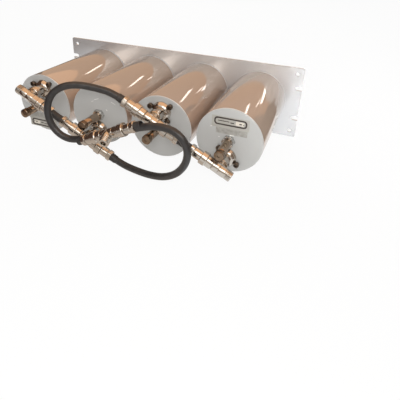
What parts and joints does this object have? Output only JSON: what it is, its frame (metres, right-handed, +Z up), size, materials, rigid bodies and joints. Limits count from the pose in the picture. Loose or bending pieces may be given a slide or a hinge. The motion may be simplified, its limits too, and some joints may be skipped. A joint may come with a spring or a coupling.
{
  "type": "four-cavity rack duplexer",
  "caption": "Rack panel carrying a row of round resonator cavities with tuning rods, coupling loops, coaxial tees and black jumper cables.",
  "frame": {"origin": "centre of the panel's cavity-side face, which seats on the rack rails", "axes": "+X along the panel, -Y out of that face along the cavities to the tuning rods, +Z up the panel"},
  "size_m": [0.4826, 0.2814, 0.1384],
  "materials": {
    "panel_enamel": "gloss",
    "tube_enamel": "gloss",
    "plate_enamel": "satin",
    "copper": "satin",
    "rod_chrome": "polished",
    "nut_steel": "satin",
    "nickel": "polished",
    "dark_screw": "satin",
    "cable_jacket": "satin",
    "boot_rubber": "matte"
  },
  "bodies": {
    "chassis": {"rack_panel": "panel_enamel", "cavity_1_tube": "tube_enamel", "cavity_1_front_plate": "plate_enamel", "cavity_1_rear_plate": "plate_enamel", "cavity_1_resonator": "copper", "cavity_1_loop_housing": "nickel", "cavity_1_coupling_loop": "copper", "cavity_1_tee": "nickel", "cavity_2_tube": "tube_enamel", "cavity_2_front_plate": "plate_enamel", "cavity_2_rear_plate": "plate_enamel", "cavity_2_resonator": "copper", "cavity_2_loop_housing": "nickel", "cavity_2_coupling_loop": "copper", "cavity_2_tee": "nickel", "cavity_3_tube": "tube_enamel", "cavity_3_front_plate": "plate_enamel", "cavity_3_rear_plate": "plate_enamel", "cavity_3_resonator": "copper", "cavity_3_loop_housing": "nickel", "cavity_3_coupling_loop": "copper", "cavity_3_tee": "nickel", "cavity_4_tube": "tube_enamel", "cavity_4_front_plate": "plate_enamel", "cavity_4_rear_plate": "plate_enamel", "cavity_4_resonator": "copper", "cavity_4_loop_housing": "nickel", "cavity_4_coupling_loop": "copper", "cavity_4_tee": "nickel", "antenna_tee": "nickel", "plug_1_to_2": "nickel", "plug_2_to_1": "nickel", "plug_3_to_4": "nickel", "plug_4_to_3": "nickel", "plug_3_to_antenna": "nickel", "plug_antenna_to_3": "nickel", "plug_2_to_antenna": "nickel", "plug_antenna_to_2": "nickel", "coupling_nuts": "nickel", "cable_1_2": "boot_rubber", "cable_3_4": "boot_rubber", "cable_3_antenna": "cable_jacket", "cable_2_antenna": "cable_jacket", "cable_boots": "boot_rubber", "loop_clamp_screws": "dark_screw", "panel_screws": "dark_screw", "contact_fingers": "copper", "rod_collets": "nickel"},
    "tuner_1": {"cavity_1_tuning_rod": "rod_chrome", "cavity_1_plunger": "copper"},
    "lock_nut_1": {"cavity_1_lock_nut": "nut_steel"},
    "tuner_2": {"cavity_2_tuning_rod": "rod_chrome", "cavity_2_plunger": "copper"},
    "lock_nut_2": {"cavity_2_lock_nut": "nut_steel"},
    "tuner_3": {"cavity_3_tuning_rod": "rod_chrome", "cavity_3_plunger": "copper"},
    "lock_nut_3": {"cavity_3_lock_nut": "nut_steel"},
    "tuner_4": {"cavity_4_tuning_rod": "rod_chrome", "cavity_4_plunger": "copper"},
    "lock_nut_4": {"cavity_4_lock_nut": "nut_steel"}
  },
  "joints": [
    {"name": "tuner_1_slide", "type": "slide", "parent": "chassis", "child": "tuner_1", "axis": [0, 1, 0], "range_m": [-0.012, 0.012]},
    {"name": "lock_nut_1_turn", "type": "hinge", "parent": "chassis", "child": "lock_nut_1", "pos_m": [-0.165, -0.1943, 0], "axis": [0, -1, 0], "range_deg": [0, 180]},
    {"name": "tuner_2_slide", "type": "slide", "parent": "chassis", "child": "tuner_2", "axis": [0, 1, 0], "range_m": [-0.012, 0.012]},
    {"name": "lock_nut_2_turn", "type": "hinge", "parent": "chassis", "child": "lock_nut_2", "pos_m": [-0.055, -0.1943, 0], "axis": [0, -1, 0], "range_deg": [0, 180]},
    {"name": "tuner_3_slide", "type": "slide", "parent": "chassis", "child": "tuner_3", "axis": [0, 1, 0], "range_m": [-0.012, 0.012]},
    {"name": "lock_nut_3_turn", "type": "hinge", "parent": "chassis", "child": "lock_nut_3", "pos_m": [0.055, -0.1943, 0], "axis": [0, -1, 0], "range_deg": [0, 180]},
    {"name": "tuner_4_slide", "type": "slide", "parent": "chassis", "child": "tuner_4", "axis": [0, 1, 0], "range_m": [-0.012, 0.012]},
    {"name": "lock_nut_4_turn", "type": "hinge", "parent": "chassis", "child": "lock_nut_4", "pos_m": [0.165, -0.1943, 0], "axis": [0, -1, 0], "range_deg": [0, 180]}
  ]
}
